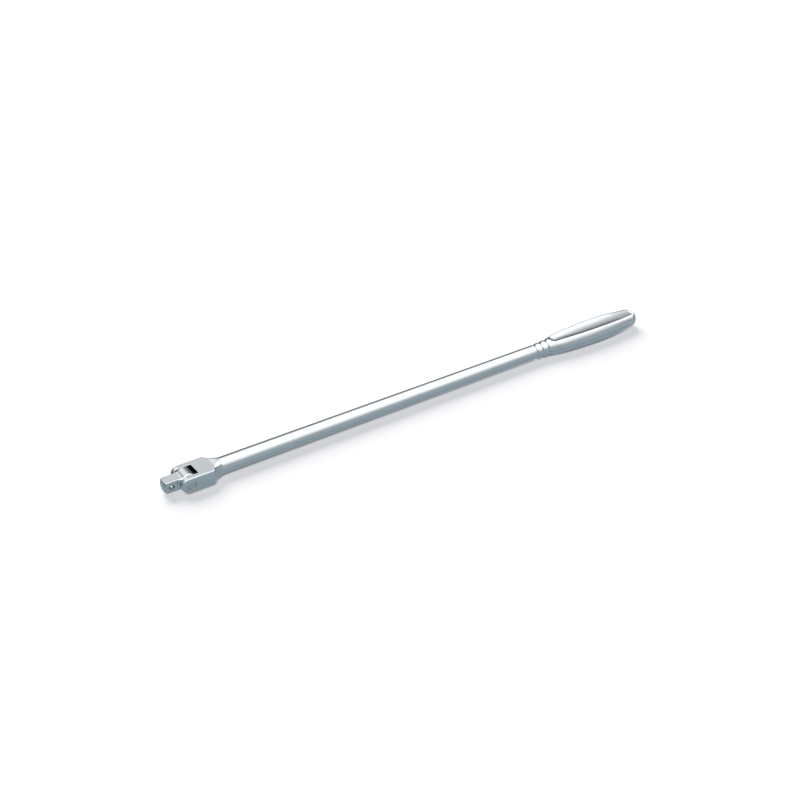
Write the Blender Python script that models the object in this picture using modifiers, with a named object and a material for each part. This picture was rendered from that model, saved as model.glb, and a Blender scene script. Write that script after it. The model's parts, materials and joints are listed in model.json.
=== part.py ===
"""Half-inch square drive breaker bar: a one-piece forged handle whose fork carries a swivelling drive head.

The bar lies along X with the drive at -X, the hinge pin runs along Y and +Z is up. The origin is the
middle of the bar's footprint, on the surface that it lies on. Every shape is drawn about the hinge pin,
and one empty on the pin's axis carries them all.
"""
import math

import bmesh
import bpy
from mathutils import Matrix, Vector

MM = 0.001
GAP = 0.3 * MM                      # clearance between neighbouring pieces

# Whole bar, measured along X from the hinge pin's axis
OVERALL_LENGTH = 600.0 * MM
DRIVE_END = -25.5 * MM
HANDLE_END = DRIVE_END + OVERALL_LENGTH

# Drive head
SQUARE = 12.7 * MM
SQUARE_EDGE = 0.5 * MM
TIP_LENGTH = 3.2 * MM               # of the turned cone on the square's end, at its corners
TIP_RADIUS = 4.8 * MM               # of the round face that it ends in
TIP_STEPS = 4
TANG_RADIUS = 8.9 * MM
TANG_EDGE = 1.6 * MM
FLARE_START = -11.5 * MM
FLARE_END = -7.5 * MM
FLARE_MIDDLE_SHARE = 0.3            # of the whole flare that is reached halfway along it

# Fork
FORK_WIDTH = 28.9 * MM
FORK_HEIGHT = 15.8 * MM
FORK_EDGE = 1.0 * MM
FORK_BACK = 24.7 * MM
SHOULDER_RADIUS = 2.6 * MM
SHOULDER_TURN = 58.0               # degrees that the rounded shoulder turns before the hollow neck
SLOT_WIDTH = 16.9 * MM
SLOT_BACK = 10.3 * MM
NOSE_END = 10.8 * MM                # of the ears' half-round noses, in front of the pin
NOSE_STEPS = 16
NOSE_CORNER = 5.0 * MM
NOSE_CORNER_STEPS = 8
CUTTER_MARGIN = 4.0 * MM            # that a cutter reaches past the fork
TANG_WIDTH = SLOT_WIDTH - 2 * GAP

# Neck between the fork and the shaft
NECK_END = 38.5 * MM
NECK_SHOULDER_STEPS = 3
NECK_HOLLOW_STEPS = 7
NECK_RISE_START = 0.25              # shares of the neck's length between which it rises to the shaft's top
NECK_RISE_END = 0.75
NECK_ROUNDING_POWER = 1.2           # a higher power keeps the neck square for longer

# Shaft
SHAFT_RADIUS_FORK = 8.7 * MM
SHAFT_RADIUS_GRIP = 7.9 * MM
SHAFT_END = 427.1 * MM
SHAFT_RINGS = 8

# Three turned grooves in the collar, which widens towards the grip
GROOVE_FIRST = 433.4 * MM
GROOVE_PITCH = 7.7 * MM
GROOVE_COUNT = 3
GROOVE_HALF_WIDTH = 2.6 * MM
GROOVE_DEPTH = 0.7 * MM
GROOVE_STEPS = 6                    # across one groove
COLLAR_START = 430.0 * MM
COLLAR_END = 450.0 * MM
COLLAR_START_RADIUS = 7.95 * MM
COLLAR_END_RADIUS = 9.2 * MM

# Grip: half width and half height at a few places along it, joined by smooth curves
GRIP_STATIONS = (
    (452.4 * MM, 9.6 * MM, 9.35 * MM),
    (456.6 * MM, 10.4 * MM, 9.9 * MM),
    (467.6 * MM, 12.5 * MM, 11.0 * MM),
    (491.6 * MM, 14.2 * MM, 12.1 * MM),
    (516.6 * MM, 15.0 * MM, 12.7 * MM),
    (541.6 * MM, 13.9 * MM, 11.9 * MM),
    (564.6 * MM, 11.4 * MM, 9.8 * MM),
)
GRIP_RINGS = 22
DOME_RINGS = 6
DOME_POWER = 2.3
DOME_TURN = 82.0                   # degrees of the dome before its small flat end

# Marking panels, one on the top and one underneath
PANEL_START = 453.1 * MM
PANEL_END = 570.4 * MM
PANEL_FLOOR = 7.8 * MM              # of the flat strip along its middle, over the bar's axis
PANEL_NECK_HALF_WIDTH = 5.6 * MM
PANEL_TIP_HALF_WIDTH = 7.6 * MM
PANEL_BELLY = 3.8 * MM              # that its middle is wider than its ends, to each side
PANEL_SLOPE = 4.5 * MM              # width of the slope from the flat strip up to the rim
PANEL_CLEARANCE = 0.4 * MM          # that the cutter's slope runs on past the rim
PANEL_CORNER_POWER = 16             # a higher power makes squarer ends
PANEL_STEPS = 20

# Hinge pin with riveted ends
PIN_RADIUS = 4.0 * MM
PIN_HEAD_RADIUS = 4.9 * MM
PIN_HEAD_THICKNESS = 0.9 * MM
PIN_HEAD_SINK = 0.15 * MM
PIN_HEAD_BEVEL_WIDTH = 0.4 * MM
PIN_HEAD_BEVEL_DEPTH = 0.3 * MM
PIN_DIMPLE_RADIUS = 1.7 * MM
PIN_DIMPLE_FLOOR_SHARE = 0.6        # of the dimple's radius that is flat
PIN_DIMPLE_DEPTH = 0.5 * MM

# Ball that keeps a socket on the square
DRIVE_BALL_X = -18.3 * MM
DRIVE_BALL_RADIUS = 2.3 * MM
DRIVE_BALL_PROUD = 0.8 * MM
DRIVE_POCKET_END = 4.2 * MM
DRIVE_MOUTH_RADIUS = 3.1 * MM
DRIVE_MOUTH_DEPTH = 0.5 * MM

# Ball that holds the swivel at an angle
SWIVEL_BALL_RADIUS = 2.4 * MM
SWIVEL_POCKET_END = 24.0 * MM

# Both coil springs
SPRING_WIRE_RADIUS = 0.3 * MM
SPRING_RADIUS = 1.5 * MM
SPRING_PITCH = 4.2 * SPRING_WIRE_RADIUS
SPRING_POINTS_PER_TURN = 10

SECTION_POINTS = 9                  # points on each quarter of a section
ROUND_SIDES = 36
BALL_SEGMENTS = 20
BALL_RINGS = 12
EDGE_ANGLE = 35.0                   # degrees over which an edge is shown sharp
ROUND_EDGE_ANGLE = 60.0             # the same, on the balls and the springs
WELD_DISTANCE = 0.001 * MM

AXIS_HEIGHT = 9.45 * MM             # of the bar's axis over the surface that it lies on
PIN_X = -OVERALL_LENGTH / 2 - DRIVE_END

SATIN_CHROME = ("satin_chrome", (0.62, 0.64, 0.67, 1.0), 0.26, 1.0)
GROUND_STEEL = ("ground_steel", (0.56, 0.58, 0.60, 1.0), 0.35, 1.0)
BEARING_STEEL = ("bearing_steel", (0.66, 0.67, 0.69, 1.0), 0.12, 1.0)
SPRING_STEEL = ("spring_steel", (0.30, 0.31, 0.33, 1.0), 0.40, 1.0)


def clear_scene():
    for obj in list(bpy.data.objects):
        bpy.data.objects.remove(obj, do_unlink=True)


def new_collection(name):
    collection = bpy.data.collections.new(name)
    bpy.context.scene.collection.children.link(collection)
    return collection


def material(recipe):
    name, colour, roughness, metallic = recipe
    made = bpy.data.materials.get(name)
    if made is None:
        made = bpy.data.materials.new(name)
        made.use_nodes = True
        shader = made.node_tree.nodes["Principled BSDF"]
        shader.inputs["Base Color"].default_value = colour
        shader.inputs["Roughness"].default_value = roughness
        shader.inputs["Metallic"].default_value = metallic
        made.diffuse_color = colour
    return made


def add_object(name, mesh, collection):
    obj = bpy.data.objects.new(name, mesh)
    collection.objects.link(obj)
    return obj


def mesh_from_bmesh(name, bm):
    bmesh.ops.recalc_face_normals(bm, faces=bm.faces)
    mesh = bpy.data.meshes.new(name)
    bm.to_mesh(mesh)
    bm.free()
    return mesh


def skin(name, loops):
    """Closed surface through loops of the same number of points, with a flat cap at each end."""
    bm = bmesh.new()
    rings = [[bm.verts.new(point) for point in loop] for loop in loops]
    for ring, following in zip(rings, rings[1:]):
        count = len(ring)
        for i in range(count):
            j = (i + 1) % count
            bm.faces.new((ring[i], ring[j], following[j], following[i]))
    bm.faces.new(rings[0])
    bm.faces.new(rings[-1])
    return mesh_from_bmesh(name, bm)


def cylinder(name, radius, start, end, axis):
    """Round bar along axis ("X", "Y" or "Z") between two places on it."""
    bm = bmesh.new()
    bmesh.ops.create_cone(bm, cap_ends=True, segments=ROUND_SIDES, radius1=radius, radius2=radius,
                          depth=end - start)
    turn = {"X": Matrix.Rotation(math.pi / 2, 4, "Y"), "Y": Matrix.Rotation(-math.pi / 2, 4, "X"),
            "Z": Matrix.Identity(4)}[axis]
    bmesh.ops.transform(bm, matrix=turn, verts=bm.verts)
    middle = Vector({"X": (1, 0, 0), "Y": (0, 1, 0), "Z": (0, 0, 1)}[axis]) * (start + end) / 2
    bmesh.ops.translate(bm, vec=middle, verts=bm.verts)
    return mesh_from_bmesh(name, bm)


def box(name, low, high):
    bm = bmesh.new()
    bmesh.ops.create_cube(bm, size=1.0)
    size = Vector(high) - Vector(low)
    bmesh.ops.scale(bm, vec=size, verts=bm.verts)
    bmesh.ops.translate(bm, vec=(Vector(low) + Vector(high)) / 2, verts=bm.verts)
    return mesh_from_bmesh(name, bm)


def mesh_from_curve(name, curve):
    """Mesh of a curve, with the caps welded to the sides."""
    holder = bpy.data.objects.new(name, curve)
    bpy.context.scene.collection.objects.link(holder)
    bpy.context.view_layer.update()
    evaluated = holder.evaluated_get(bpy.context.evaluated_depsgraph_get())
    mesh = bpy.data.meshes.new_from_object(evaluated)
    bpy.data.objects.remove(holder, do_unlink=True)
    bm = bmesh.new()
    bm.from_mesh(mesh)
    bmesh.ops.remove_doubles(bm, verts=bm.verts, dist=WELD_DISTANCE)
    bmesh.ops.recalc_face_normals(bm, faces=bm.faces)
    bm.to_mesh(mesh)
    bm.free()
    mesh.name = name
    return mesh


def plate(name, outline, half_thickness):
    """Flat outline in XY, extruded to both sides of the plane."""
    curve = bpy.data.curves.new(name, "CURVE")
    curve.dimensions = "2D"
    curve.fill_mode = "BOTH"
    curve.extrude = half_thickness
    spline = curve.splines.new("POLY")
    spline.points.add(len(outline) - 1)
    for point, (x, y) in zip(spline.points, outline):
        point.co = (x, y, 0.0, 1.0)
    spline.use_cyclic_u = True
    return mesh_from_curve(name, curve)


def arc(centre, radius, start, end, steps):
    """Points of an arc in its plane, with the angles in degrees."""
    points = []
    for i in range(steps + 1):
        angle = math.radians(start + (end - start) * i / steps)
        points.append((centre[0] + radius * math.cos(angle), centre[1] + radius * math.sin(angle)))
    return points


def turned(name, profile, collection):
    """Solid of revolution about its own Z, through (radius, height) points from the top to the bottom."""
    mesh = bpy.data.meshes.new(name)
    points = [(radius, 0.0, height) for radius, height in profile]
    mesh.from_pydata(points, [(i, i + 1) for i in range(len(points) - 1)], [])
    obj = add_object(name, mesh, collection)
    screw = obj.modifiers.new("turn", "SCREW")
    screw.axis = "Z"
    screw.steps = ROUND_SIDES
    screw.render_steps = ROUND_SIDES
    screw.use_merge_vertices = True
    screw.merge_threshold = WELD_DISTANCE
    return obj


def cut(target, mesh, cutters):
    """Take a solid away from target."""
    cutter = add_object(mesh.name, mesh, cutters)
    cutter.parent = target.parent
    cutter.hide_render = True
    cutter.display_type = "WIRE"
    boolean = target.modifiers.new(mesh.name, "BOOLEAN")
    boolean.operation = "DIFFERENCE"
    boolean.solver = "EXACT"
    boolean.object = cutter


def finish_piece(obj, parent, recipe, sharp_angle=EDGE_ANGLE):
    obj.parent = parent
    obj.data.materials.append(material(recipe))
    if obj.data.polygons:
        obj.data.shade_smooth()
        obj.data.set_sharp_from_angle(angle=math.radians(sharp_angle))


def section(x, half_width, half_height, corner_width, corner_height):
    """Rectangle with elliptic corners across the bar at x; its widest points are at the half sizes."""
    half_step = math.radians(45.0 / SECTION_POINTS)
    reach = math.cos(half_step)
    middle_y = half_width - corner_width * reach
    middle_z = half_height - corner_height * reach
    points = []
    for quarter in range(4):
        side_y = 1 if quarter in (0, 3) else -1
        side_z = 1 if quarter in (0, 1) else -1
        for i in range(SECTION_POINTS):
            angle = quarter * math.pi / 2 + (2 * i + 1) * half_step
            y = side_y * middle_y + corner_width * math.cos(angle)
            z = side_z * middle_z + corner_height * math.sin(angle)
            points.append((x, y, z))
    return points


def smooth_step(t):
    t = min(max(t, 0.0), 1.0)
    return t * t * (3.0 - 2.0 * t)


def smooth_through(stations, x):
    """Half width and half height at x, on a smooth curve through the stations."""
    last = len(stations) - 2
    index = 0
    while index < last and x > stations[index + 1][0]:
        index += 1
    before = stations[max(index - 1, 0)]
    start = stations[index]
    end = stations[index + 1]
    after = stations[min(index + 2, last + 1)]
    t = (x - start[0]) / (end[0] - start[0])
    sizes = []
    for k in (1, 2):
        slope_start = (end[k] - before[k]) / (end[0] - before[0]) * (end[0] - start[0])
        slope_end = (after[k] - start[k]) / (after[0] - start[0]) * (end[0] - start[0])
        sizes.append(
            (2 * t**3 - 3 * t**2 + 1) * start[k] + (t**3 - 2 * t**2 + t) * slope_start
            + (3 * t**2 - 2 * t**3) * end[k] + (t**3 - t**2) * slope_end
        )
    return sizes


def shaft_radius(x):
    share = (x - NECK_END) / (SHAFT_END - NECK_END)
    return SHAFT_RADIUS_FORK + (SHAFT_RADIUS_GRIP - SHAFT_RADIUS_FORK) * share


def fork_sections():
    sizes = (FORK_WIDTH / 2, FORK_HEIGHT / 2, FORK_EDGE, FORK_EDGE)
    front = -NOSE_END - FORK_EDGE
    return [section(front, *sizes), section(0.0, *sizes), section(FORK_BACK, *sizes)]


def neck_outline():
    """Half widths behind the fork: a rounded shoulder, then a hollow curve that runs into the shaft."""
    half_width = FORK_WIDTH / 2
    points = []
    for i in range(1, NECK_SHOULDER_STEPS + 1):
        angle = math.radians(SHOULDER_TURN) * i / NECK_SHOULDER_STEPS
        points.append((FORK_BACK + SHOULDER_RADIUS * math.sin(angle),
                       half_width - SHOULDER_RADIUS * (1.0 - math.cos(angle))))
    start = Vector(points[-1])
    drop = start.y - SHAFT_RADIUS_FORK
    bend = Vector((start.x + drop / math.tan(math.radians(SHOULDER_TURN)), SHAFT_RADIUS_FORK))
    end = Vector((NECK_END, SHAFT_RADIUS_FORK))
    for i in range(1, NECK_HOLLOW_STEPS + 1):
        t = i / NECK_HOLLOW_STEPS
        points.append(tuple((1 - t)**2 * start + 2 * t * (1 - t) * bend + t**2 * end))
    return points


def neck_sections():
    """Sections that turn the fork's square shape into the round shaft."""
    rings = []
    for x, half_width in neck_outline():
        along = (x - FORK_BACK) / (NECK_END - FORK_BACK)
        rise = smooth_step((along - NECK_RISE_START) / (NECK_RISE_END - NECK_RISE_START))
        half_height = FORK_HEIGHT / 2 + (SHAFT_RADIUS_FORK - FORK_HEIGHT / 2) * rise
        rounding = along**NECK_ROUNDING_POWER
        corner_width = FORK_EDGE + (half_width - FORK_EDGE) * rounding
        corner_height = FORK_EDGE + (half_height - FORK_EDGE) * rounding
        rings.append(section(x, half_width, half_height, corner_width, corner_height))
    return rings


def round_section(x, radius):
    return section(x, radius, radius, radius, radius)


def shaft_sections():
    rings = []
    for i in range(1, SHAFT_RINGS + 1):
        x = NECK_END + (SHAFT_END - NECK_END) * i / SHAFT_RINGS
        rings.append(round_section(x, shaft_radius(x)))
    return rings


def groove_sections():
    """Turned grooves in the collar."""
    widening = (COLLAR_END_RADIUS - COLLAR_START_RADIUS) / (COLLAR_END - COLLAR_START)
    rings = []
    for number in range(GROOVE_COUNT):
        centre = GROOVE_FIRST + number * GROOVE_PITCH
        for i in range(GROOVE_STEPS + 1):
            share = 2.0 * i / GROOVE_STEPS - 1.0
            x = centre + share * GROOVE_HALF_WIDTH
            depth = GROOVE_DEPTH * (1.0 + math.cos(math.pi * share)) / 2
            rings.append(round_section(x, COLLAR_START_RADIUS + (x - COLLAR_START) * widening - depth))
    return rings


def oval_section(x, half_width, half_height):
    return section(x, half_width, half_height, half_width, half_height)


def dome_share(x):
    """Share of the grip's last station that is left at x, in the domed end."""
    full_turn = math.radians(DOME_TURN)
    dome_start = GRIP_STATIONS[-1][0]
    turn = math.asin((x - dome_start) / (HANDLE_END - dome_start) * math.sin(full_turn))
    return math.cos(turn) ** (2.0 / DOME_POWER)


def grip_size(x):
    """Half width and half height of the grip at x."""
    dome_start, last_width, last_height = GRIP_STATIONS[-1]
    if x <= dome_start:
        return smooth_through(GRIP_STATIONS, x)
    return last_width * dome_share(x), last_height * dome_share(x)


def grip_sections():
    """Swelling oval grip with a domed end."""
    rings = []
    grip_start = GRIP_STATIONS[0][0]
    dome_start = GRIP_STATIONS[-1][0]
    for i in range(GRIP_RINGS + 1):
        x = grip_start + (dome_start - grip_start) * i / GRIP_RINGS
        rings.append(oval_section(x, *grip_size(x)))
    full_turn = math.radians(DOME_TURN)
    for i in range(1, DOME_RINGS + 1):
        angle = full_turn * i / DOME_RINGS
        x = dome_start + (HANDLE_END - dome_start) * math.sin(angle) / math.sin(full_turn)
        rings.append(oval_section(x, *grip_size(x)))
    return rings


def panel_outline(inset):
    """Outline of a marking panel, wide at its middle and rounded at both ends."""
    start = PANEL_START + inset
    end = PANEL_END - inset
    middle = (start + end) / 2
    half_length = (end - start) / 2
    side = []
    for i in range(PANEL_STEPS + 1):
        share = -math.cos(math.pi * i / PANEL_STEPS)
        ends = PANEL_NECK_HALF_WIDTH + (PANEL_TIP_HALF_WIDTH - PANEL_NECK_HALF_WIDTH) * (1.0 + share) / 2
        half_width = ends + PANEL_BELLY * math.cos(math.pi / 2 * share) - inset
        rounded = (1.0 - abs(share) ** PANEL_CORNER_POWER) ** 0.5
        side.append((middle + half_length * share, half_width * rounded))
    upper = side[1:-1]
    lower = [(x, -y) for x, y in reversed(upper)]
    return [side[0]] + upper + [side[-1]] + lower


def rim_level(x, y):
    """Height of the grip's oval over the bar's axis."""
    half_width, half_height = grip_size(x)
    return half_height * (1.0 - min(abs(y) / half_width, 1.0) ** 2) ** 0.5


def panel_cutter(name, direction):
    """Dished panel, on top (direction 1) or underneath (-1): a flat strip with slopes up to the rim."""
    strip = panel_outline(PANEL_SLOPE)
    rim = panel_outline(0.0)
    past_rim = panel_outline(-PANEL_CLEARANCE)
    high = max(station[2] for station in GRIP_STATIONS) + PANEL_SLOPE
    run_on = 1.0 + PANEL_CLEARANCE / PANEL_SLOPE
    floor = [(x, y, direction * PANEL_FLOOR) for x, y in strip]
    slope = []
    top = []
    for (rim_x, rim_y), (x, y) in zip(rim, past_rim):
        rise = (rim_level(rim_x, rim_y) - PANEL_FLOOR) * run_on
        slope.append((x, y, direction * (PANEL_FLOOR + rise)))
        top.append((x, y, direction * high))
    return skin(name, [floor, slope, top])


def nose_cutter():
    """Everything in front of the half-round nose that both ears share."""
    radius = FORK_HEIGHT / 2
    centre_x = radius - NOSE_END
    front = -NOSE_END - CUTTER_MARGIN
    top = FORK_HEIGHT
    outline = arc((centre_x, 0.0), radius, 90.0, 270.0, NOSE_STEPS)
    outline += [(centre_x, -top), (front, -top), (front, top), (centre_x, top)]
    mesh = plate("nose_cutter", outline, FORK_WIDTH)
    mesh.transform(Matrix.Rotation(math.pi / 2, 4, "X"))
    return mesh


def corner_cutter(name, side):
    """The outer corner that is rounded away in front of one ear."""
    centre_x = NOSE_CORNER - NOSE_END
    centre_y = FORK_WIDTH / 2 - NOSE_CORNER
    front = -NOSE_END - CUTTER_MARGIN
    outer = FORK_WIDTH / 2 + FORK_EDGE
    outline = arc((centre_x, centre_y), NOSE_CORNER, 90.0, 180.0, NOSE_CORNER_STEPS)
    outline += [(front, centre_y), (front, outer), (centre_x, outer)]
    return plate(name, [(x, side * y) for x, y in outline], FORK_HEIGHT)


def make_handle_bar(parent, parts, cutters):
    rings = fork_sections() + neck_sections() + shaft_sections() + groove_sections() + grip_sections()
    handle = add_object("handle_bar", skin("handle_bar", rings), parts)
    finish_piece(handle, parent, SATIN_CHROME)
    ear_face = FORK_WIDTH / 2
    sink = PIN_HEAD_SINK + PIN_HEAD_THICKNESS + GAP
    front = -NOSE_END - CUTTER_MARGIN
    slot_low = (front, -SLOT_WIDTH / 2, -FORK_HEIGHT)
    slot_high = (SLOT_BACK, SLOT_WIDTH / 2, FORK_HEIGHT)
    cut(handle, nose_cutter(), cutters)
    cut(handle, corner_cutter("near_corner_cutter", -1), cutters)
    cut(handle, corner_cutter("far_corner_cutter", 1), cutters)
    cut(handle, box("slot_cutter", slot_low, slot_high), cutters)
    cut(handle, cylinder("pin_bore_cutter", PIN_RADIUS + GAP, -FORK_WIDTH, FORK_WIDTH, "Y"), cutters)
    for name, start, end in (("near_rivet_cutter", -FORK_WIDTH, sink - ear_face),
                             ("far_rivet_cutter", ear_face - sink, FORK_WIDTH)):
        cut(handle, cylinder(name, PIN_HEAD_RADIUS + GAP, start, end, "Y"), cutters)
    cut(handle, cylinder("swivel_pocket_cutter", SWIVEL_BALL_RADIUS + GAP, 0.0, SWIVEL_POCKET_END, "X"),
        cutters)
    cut(handle, panel_cutter("top_panel_cutter", 1), cutters)
    cut(handle, panel_cutter("under_panel_cutter", -1), cutters)
    return handle


def tip_sections():
    """The square's end, turned down by a cone to a round face."""
    half = SQUARE / 2
    diagonal = math.sqrt(2.0) * half
    rings = []
    for i in range(TIP_STEPS + 1):
        share = i / TIP_STEPS
        radius = TIP_RADIUS + (diagonal - TIP_RADIUS) * share
        size = min(radius, half)
        corner = min(max((diagonal - radius) / (math.sqrt(2.0) - 1.0), SQUARE_EDGE), size)
        rings.append(section(DRIVE_END + TIP_LENGTH * share, size, size, corner, corner))
    return rings


def make_drive_head(parent, parts, cutters):
    """Square drive that flares into the round tang between the ears."""
    half = SQUARE / 2
    flare = TANG_WIDTH / 2 - GAP
    middle = half + FLARE_MIDDLE_SHARE * (flare - half)
    edge = SQUARE_EDGE
    rings = tip_sections() + [
        section(FLARE_START, half, half, edge, edge),
        section((FLARE_START + FLARE_END) / 2, middle, half, edge, edge),
        section(FLARE_END, flare, half, edge, edge),
        section(0.0, flare, half, edge, edge),
    ]
    head = add_object("drive_head", skin("drive_head", rings), parts)
    finish_piece(head, parent, SATIN_CHROME)
    rim = TANG_WIDTH / 2 - TANG_EDGE
    disc_profile = [
        (0.0, TANG_WIDTH / 2), (TANG_RADIUS - TANG_EDGE, TANG_WIDTH / 2), (TANG_RADIUS, rim),
        (TANG_RADIUS, -rim), (TANG_RADIUS - TANG_EDGE, -TANG_WIDTH / 2), (0.0, -TANG_WIDTH / 2),
    ]
    tang = turned("tang_disc", disc_profile, cutters)
    tang.rotation_euler = (math.pi / 2, 0.0, 0.0)
    tang.parent = parent
    tang.hide_render = True
    tang.display_type = "WIRE"
    join = head.modifiers.new("tang_disc", "BOOLEAN")
    join.operation = "UNION"
    join.solver = "EXACT"
    join.object = tang
    cut(head, cylinder("tang_bore_cutter", PIN_RADIUS + GAP, -FORK_WIDTH, FORK_WIDTH, "Y"), cutters)
    pocket = cylinder("drive_pocket_cutter", DRIVE_BALL_RADIUS + GAP, -SQUARE, DRIVE_POCKET_END, "Y")
    pocket.transform(Matrix.Translation((DRIVE_BALL_X, 0.0, 0.0)))
    cut(head, pocket, cutters)
    mouth = cylinder("drive_mouth_cutter", DRIVE_MOUTH_RADIUS, -SQUARE, DRIVE_MOUTH_DEPTH - half, "Y")
    mouth.transform(Matrix.Translation((DRIVE_BALL_X, 0.0, 0.0)))
    cut(head, mouth, cutters)
    return head


def make_hinge_pin(parent, parts):
    """Riveted pin: a plain shank with a dimpled head in each ear."""
    outer = FORK_WIDTH / 2 - PIN_HEAD_SINK
    under = outer - PIN_HEAD_THICKNESS
    half_profile = [
        (0.0, outer - PIN_DIMPLE_DEPTH),
        (PIN_DIMPLE_RADIUS * PIN_DIMPLE_FLOOR_SHARE, outer - PIN_DIMPLE_DEPTH),
        (PIN_DIMPLE_RADIUS, outer),
        (PIN_HEAD_RADIUS - PIN_HEAD_BEVEL_WIDTH, outer),
        (PIN_HEAD_RADIUS, outer - PIN_HEAD_BEVEL_DEPTH),
        (PIN_HEAD_RADIUS, under),
        (PIN_RADIUS, under),
    ]
    profile = half_profile + [(radius, -height) for radius, height in reversed(half_profile)]
    pin = turned("hinge_pin", profile, parts)
    pin.rotation_euler = (math.pi / 2, 0.0, 0.0)
    finish_piece(pin, parent, GROUND_STEEL)
    return pin


def make_ball(name, radius, centre, parent, parts):
    bm = bmesh.new()
    bmesh.ops.create_uvsphere(bm, u_segments=BALL_SEGMENTS, v_segments=BALL_RINGS, radius=radius)
    ball = add_object(name, mesh_from_bmesh(name, bm), parts)
    finish_piece(ball, parent, BEARING_STEEL, ROUND_EDGE_ANGLE)
    ball.location = centre
    return ball


def make_spring(name, start, end, parent, parts):
    """Compression spring between two points, as one closed coil of wire."""
    start = Vector(start)
    end = Vector(end)
    length = (end - start).length - 2 * SPRING_WIRE_RADIUS
    turns = round(length / SPRING_PITCH)
    curve = bpy.data.curves.new(name, "CURVE")
    curve.dimensions = "3D"
    curve.bevel_depth = SPRING_WIRE_RADIUS
    curve.bevel_resolution = 1
    curve.use_fill_caps = True
    spline = curve.splines.new("POLY")
    count = turns * SPRING_POINTS_PER_TURN
    spline.points.add(count)
    for i, point in enumerate(spline.points):
        angle = 2 * math.pi * i / SPRING_POINTS_PER_TURN
        height = SPRING_WIRE_RADIUS + length * i / count
        point.co = (SPRING_RADIUS * math.cos(angle), SPRING_RADIUS * math.sin(angle), height, 1.0)
    spring = add_object(name, mesh_from_curve(name, curve), parts)
    finish_piece(spring, parent, SPRING_STEEL, ROUND_EDGE_ANGLE)
    spring.location = start
    spring.rotation_mode = "QUATERNION"
    spring.rotation_quaternion = (end - start).to_track_quat("Z", "Y")
    return spring


def build():
    clear_scene()
    parts = new_collection("breaker_bar")
    cutters = new_collection("breaker_bar_cutters")
    swivel = bpy.data.objects.new("swivel_axis", None)
    swivel.empty_display_size = FORK_WIDTH
    swivel.location = (PIN_X, 0.0, AXIS_HEIGHT)
    parts.objects.link(swivel)

    make_handle_bar(swivel, parts, cutters)
    make_drive_head(swivel, parts, cutters)
    make_hinge_pin(swivel, parts)

    drive_ball_y = DRIVE_BALL_RADIUS - DRIVE_BALL_PROUD - SQUARE / 2
    make_ball("drive_ball", DRIVE_BALL_RADIUS, (DRIVE_BALL_X, drive_ball_y, 0.0), swivel, parts)
    make_spring("drive_ball_spring", (DRIVE_BALL_X, drive_ball_y + DRIVE_BALL_RADIUS + GAP, 0.0),
                (DRIVE_BALL_X, DRIVE_POCKET_END - GAP, 0.0), swivel, parts)

    swivel_ball_x = TANG_RADIUS + GAP + SWIVEL_BALL_RADIUS
    make_ball("swivel_ball", SWIVEL_BALL_RADIUS, (swivel_ball_x, 0.0, 0.0), swivel, parts)
    make_spring("swivel_spring", (swivel_ball_x + SWIVEL_BALL_RADIUS + GAP, 0.0, 0.0),
                (SWIVEL_POCKET_END - GAP, 0.0, 0.0), swivel, parts)


build()
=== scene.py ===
"""Breaker bar: the finished pieces, their materials, the light and the camera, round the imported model."""
import json
import math

import bmesh
import bpy
from mathutils import Matrix, Vector


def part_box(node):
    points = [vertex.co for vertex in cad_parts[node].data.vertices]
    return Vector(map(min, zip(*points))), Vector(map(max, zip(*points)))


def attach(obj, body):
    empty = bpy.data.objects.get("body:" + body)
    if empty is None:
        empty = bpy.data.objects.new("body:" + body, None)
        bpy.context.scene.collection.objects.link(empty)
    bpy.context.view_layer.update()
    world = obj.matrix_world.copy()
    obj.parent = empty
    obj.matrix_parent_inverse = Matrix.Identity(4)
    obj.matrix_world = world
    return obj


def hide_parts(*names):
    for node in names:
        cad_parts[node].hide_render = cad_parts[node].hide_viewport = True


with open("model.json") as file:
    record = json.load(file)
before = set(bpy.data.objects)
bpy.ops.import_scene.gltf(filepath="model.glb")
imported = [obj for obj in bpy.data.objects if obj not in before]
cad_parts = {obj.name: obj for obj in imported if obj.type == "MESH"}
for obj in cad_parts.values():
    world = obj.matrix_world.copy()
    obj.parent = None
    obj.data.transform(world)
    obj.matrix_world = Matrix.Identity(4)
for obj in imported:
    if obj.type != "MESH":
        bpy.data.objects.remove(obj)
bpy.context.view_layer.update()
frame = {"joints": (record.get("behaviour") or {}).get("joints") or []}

MM = 0.001
GAP = 0.3 * MM

# ---------------------------------------------------------------- places and sizes that the frame gives
JOINTS = {joint["name"]: joint for joint in frame["joints"]}
PIN = Vector(JOINTS["drive_swivel"]["pos_m"])     # every x, y, z below is counted from the hinge pin's middle
BAR_LOW, BAR_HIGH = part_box("handle_bar")
HEAD_LOW, HEAD_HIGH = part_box("drive_head")
DRIVE_BALL_LOW, DRIVE_BALL_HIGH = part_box("drive_ball")
SWIVEL_BALL_LOW, SWIVEL_BALL_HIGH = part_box("swivel_ball")

BAR_END = BAR_HIGH.x - PIN.x
NOSE_END = PIN.x - BAR_LOW.x
DRIVE_END = HEAD_LOW.x - PIN.x
TANG_RADIUS = HEAD_HIGH.z - PIN.z
TANG_HALF_WIDTH = HEAD_HIGH.y

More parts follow.
